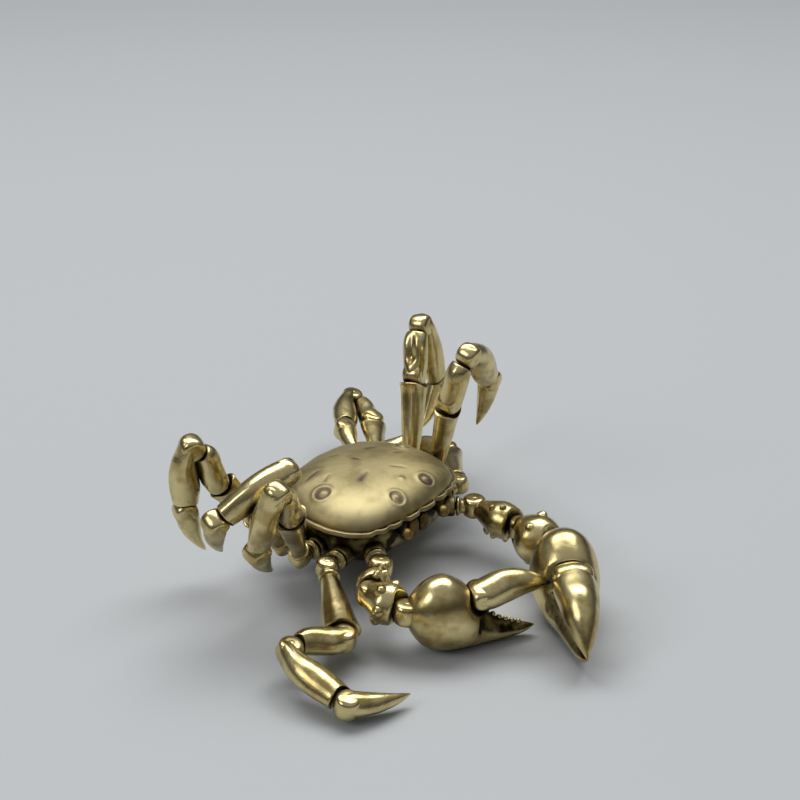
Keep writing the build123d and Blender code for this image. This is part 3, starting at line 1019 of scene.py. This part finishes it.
@dataclass(frozen=True)
class Underbody:
    """The plastron with its ten sockets, in millimetres.

    Attributes:
        shell: the carapace that it hangs under.
        depth: from the rim's underside down to the belly.
        waist: height of its middle above the belly.
        socket: profile of a socket, from inside the body out to its mouth.
    """

    shell: Shell
    depth: float = 7.1
    waist: float = 3.55
    socket: Profile = ((-3.2, 1.5), (-1.2, 1.6), (-0.25, 1.62), (-0.08, 1.5), (0.0, 1.3),
                       (0.0, 0.8), (-0.4, 0.76))

    def build(self, roots: Sequence[LinkFrame]) -> Sculpt:
        """Makes belly, waist and sockets.

        Args:
            roots: the coxae's frames, one for each socket.

        Returns:
            The piece.
        """
        sculpt = Sculpt("plastron_cast", "shell")
        edge = self.shell.outline(90)
        cx, cy = self.shell.middle
        low, rim = self.shell.rim - self.depth, self.shell.rim
        # The third number of each row is painted shade, darkest just under the rim where the
        # carapace shades the body.
        rows = ((0.3, low, 0.4), (0.58, low, 0.4), (0.62, low + 0.12, 0.5),
                (0.78, low + self.waist * 0.5, 0.7), (0.88, low + self.waist * 0.9, 0.8),
                (0.9, low + self.waist * 1.1, 0.9), (0.9, rim - 0.3, 1.0), (0.89, rim - 0.02, 1.0))
        sculpt.rings([np.array([(cx + x * share, cy + y * share, height) for x, y in edge])
                      for share, height, _ in rows], [shade for _, _, shade in rows])
        for root in roots:
            sculpt.disc(root.origin, root.x, self.socket, 0.6)
        return sculpt


@dataclass(frozen=True)
class Face:
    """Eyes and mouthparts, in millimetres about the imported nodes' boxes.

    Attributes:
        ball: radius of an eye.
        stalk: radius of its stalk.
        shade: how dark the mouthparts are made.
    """

    ball: float = 0.95
    stalk: float = 0.36
    shade: float = 0.6

    def eye(self, name: str) -> Sculpt:
        """Makes a ball on its stalk.

        Args:
            name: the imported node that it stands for.

        Returns:
            The piece.
        """
        sculpt = Sculpt(f"{name}_cast", "shell")
        low, high = (np.array(c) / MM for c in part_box(name))
        centre = np.array([(low[0] + high[0]) / 2, low[1] + self.ball, (low[2] + high[2]) / 2])
        forward = np.array([0.0, -1.0, 0.0])
        back, pole = high[1] - centre[1], 0.12
        turns = np.linspace(pole, math.pi - pole, 12)
        sculpt.disc(centre, forward,
                    [(-math.cos(t) * self.ball, math.sin(t) * self.ball) for t in turns], 0.2, 24)
        sculpt.disc(centre, forward,
                    [(-back, self.stalk), (-0.9, self.stalk + 0.02), (-0.5, self.stalk)], 0.9, 16)
        return sculpt

    def mouth(self) -> Sculpt:
        """Makes two plates side by side below the brow."""
        sculpt = Sculpt("mouthparts_cast", "shell")
        low, high = (np.array(c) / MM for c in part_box("mouthparts"))
        middle, half = (low + high) / 2, (high[0] - low[0]) / 2
        tall, wide, deep = (high[2] - low[2]) / 2, half / 2, high[1] - low[1]
        for sign in (-1, 1):
            root = np.array([middle[0] + sign * wide, high[1], middle[2]])
            frame = LinkFrame(root, np.array([0.0, -1.0, 0.0]), np.array([1.0, 0.0, 0.0]), 1.0)
            body = [Station(0.0, 0, tall * 0.96, wide * 0.92, 0.0),
                    Station(deep * 0.6, 0, tall * 0.98, wide * 0.94, 0.0),
                    Station(deep * 0.85, 0, tall * 0.8, wide * 0.75, 0.0)]
            rings = swept(frame, body, (0.0, deep * 0.12))
            sculpt.rings(rings, [self.shade] * len(rings))
        return sculpt


@dataclass(frozen=True)
class Lamp:
    """A rectangular area light that looks at the object, in metres and watts."""

    name: str
    place: tuple[float, float, float]
    size: tuple[float, float]
    power: float
    colour: str

    def build(self) -> None:
        """Adds the light to the scene."""
        data = bpy.data.lights.new(self.name, "AREA")
        data.shape = "RECTANGLE"
        data.size, data.size_y = self.size
        data.energy = self.power
        data.color = linear(self.colour)[:3]
        made = bpy.data.objects.new(self.name, data)
        bpy.context.scene.collection.objects.link(made)
        made.location = self.place
        made.rotation_mode = "QUATERNION"
        made.rotation_quaternion = (-Vector(self.place)).to_track_quat("-Z", "Y")


@dataclass(frozen=True)
class Studio:
    """Floor, light and camera, in millimetres where no other unit is given.

    Attributes:
        target: the point of the object that the camera's numbers go with.
        azimuth: camera's bearing round the object in degrees, as in the photograph.
        elevation: its height above the horizon in degrees.
        distance: from the camera to the target.
        focus_px: focal length in pixels of the picture.
        picture_px: the picture's side in pixels.
        target_px: where the target lands in the picture, from its upper left corner.
        sheet: half side of the floor in metres.
        backdrop: sRGB colour of the floor.
        room: sRGB colour of the surroundings.
        lamps: a long soft box above the back and a smaller one at the left.
    """

    target: tuple[float, float, float]
    azimuth: float = -50.0
    elevation: float = 30.0
    distance: float = 240.0
    focus_px: float = 1608.0
    picture_px: float = 800.0
    target_px: tuple[float, float] = (380.5, 496.2)
    sheet: float = 1.2
    backdrop: str = "#bcbfc1"
    room: str = "#d8d9da"
    lamps: tuple[Lamp, ...] = (
        Lamp("ceiling", (0.17, 0.15, 0.56), (0.8, 0.3), 3.3, "#ffffff"),
        Lamp("window", (-0.6, 0.25, 0.5), (0.3, 0.3), 1.1, "#fbfcff"))

    def camera(self) -> None:
        """Places the camera so that the target lands where the photograph has it."""
        a, e = math.radians(self.azimuth), math.radians(self.elevation)
        back = Vector((math.sin(a) * math.cos(e), -math.cos(a) * math.cos(e), math.sin(e)))
        eye = Vector(self.target) + back * self.distance
        data = bpy.data.cameras.new("camera")
        data.sensor_width = 36.0
        data.lens = self.focus_px / self.picture_px * data.sensor_width
        data.clip_start, data.clip_end = 0.01, 10.0
        made = bpy.data.objects.new("camera", data)
        bpy.context.scene.collection.objects.link(made)
        made.location = eye * MM
        dx = (self.target_px[0] - self.picture_px / 2) / self.focus_px
        dy = (self.target_px[1] - self.picture_px / 2) / self.focus_px
        aim = -back
        # The aim and its own right and up settle together in a few rounds.
        for _ in range(20):
            right = aim.cross(Vector((0, 0, 1))).normalized()
            up = right.cross(aim)
            aim = (-back - right * dx + up * dy).normalized()
        made.rotation_mode = "QUATERNION"
        made.rotation_quaternion = aim.to_track_quat("-Z", "Y")
        bpy.context.scene.camera = made

    def floor(self) -> None:
        """Lays a pale sheet under the figure."""
        mesh, half = bpy.data.meshes.new("floor"), self.sheet
        mesh.from_pydata([(-half, -half, 0), (half, -half, 0), (half, half, 0), (-half, half, 0)],
                         [], [(0, 1, 2, 3)])
        made = bpy.data.objects.new("floor", mesh)
        bpy.context.scene.collection.objects.link(made)
        # Pale grey laminate with a satin press: it takes a soft shadow and shows no reflections.
        material = bpy.data.materials.new("satin_laminate_sheet")
        material.use_nodes = True
        tree = material.node_tree
        tree.nodes.clear()
        shader = node(tree, "ShaderNodeBsdfPrincipled", None,
                      {"Base Color": linear(self.backdrop), "Roughness": 0.5})
        node(tree, "ShaderNodeOutputMaterial", None, None, {"Surface": shader.outputs["BSDF"]})
        mesh.materials.append(material)

    def world(self) -> None:
        """Makes even pale surroundings, dimmer towards the horizon."""
        world = bpy.data.worlds.new("room")
        world.use_nodes = True
        tree = world.node_tree
        background = tree.nodes["Background"]
        background.inputs["Color"].default_value = linear(self.room)
        place = node(tree, "ShaderNodeTexCoord")
        split = node(tree, "ShaderNodeSeparateXYZ", None, None,
                     {"Vector": place.outputs["Generated"]})
        glow = node(tree, "ShaderNodeMapRange", {"interpolation_type": "SMOOTHSTEP"},
                    {"From Min": 0.05, "From Max": 0.8, "To Min": 0.08, "To Max": 0.5},
                    {"Value": split.outputs["Z"]})
        tree.links.new(glow.outputs["Result"], background.inputs["Strength"])
        bpy.context.scene.world = world

    def build(self) -> None:
        """Makes everything that isn't the object."""
        bpy.context.scene.view_settings.view_transform = "Standard"
        self.camera()
        self.floor()
        self.world()
        for lamp in self.lamps:
            lamp.build()


def main() -> None:
    """Builds the figure piece by piece and then its surroundings."""
    logging.basicConfig(level=logging.INFO, format="%(name)s: %(message)s")
    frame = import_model()
    materials = {finish.slot: finish.build() for finish in (LIMB_BRASS, SHELL_BRASS, EYE_BRASS)}
    legs = [WalkingLeg(f"leg_{side.letter}{pair}", frame) for side in Side for pair in PAIRS]
    arms = [ClawArm(f"claw_{side.value}", frame) for side in Side]
    low, high = (np.array(c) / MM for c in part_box("carapace"))
    middle = (low + high) / 2
    shell = Shell(rim=float(low[2]), middle=(float(middle[0]), float(middle[1])))
    face = Face()
    underbody = Underbody(shell).build([limb.frames[0] for limb in (*legs, *arms)])
    pieces = [(shell.build(), Slot.SHELL, "carapace"), (underbody, Slot.LIMB, "plastron"),
              (face.mouth(), Slot.EYE, "mouthparts")]
    pieces += [(face.eye(f"eye_{side.value}"), Slot.EYE, f"eye_{side.value}") for side in Side]
    pieces += [(sculpt, Slot.LIMB, sculpt.body) for limb in (*legs, *arms)
               for sculpt in limb.build()]
    for sculpt, slot, packed in pieces:
        made = sculpt.finish(materials[slot], slot, packed)
        LOG.info("%s: %d faces on %s", made.name, len(made.data.polygons), sculpt.body)
    # The fitted target: the rim's underside, a little in front of the body's middle.
    forward = 3.0
    Studio(target=(float(middle[0]), float(middle[1]) - forward, float(low[2]))).build()


if __name__ == "__main__":
    main()
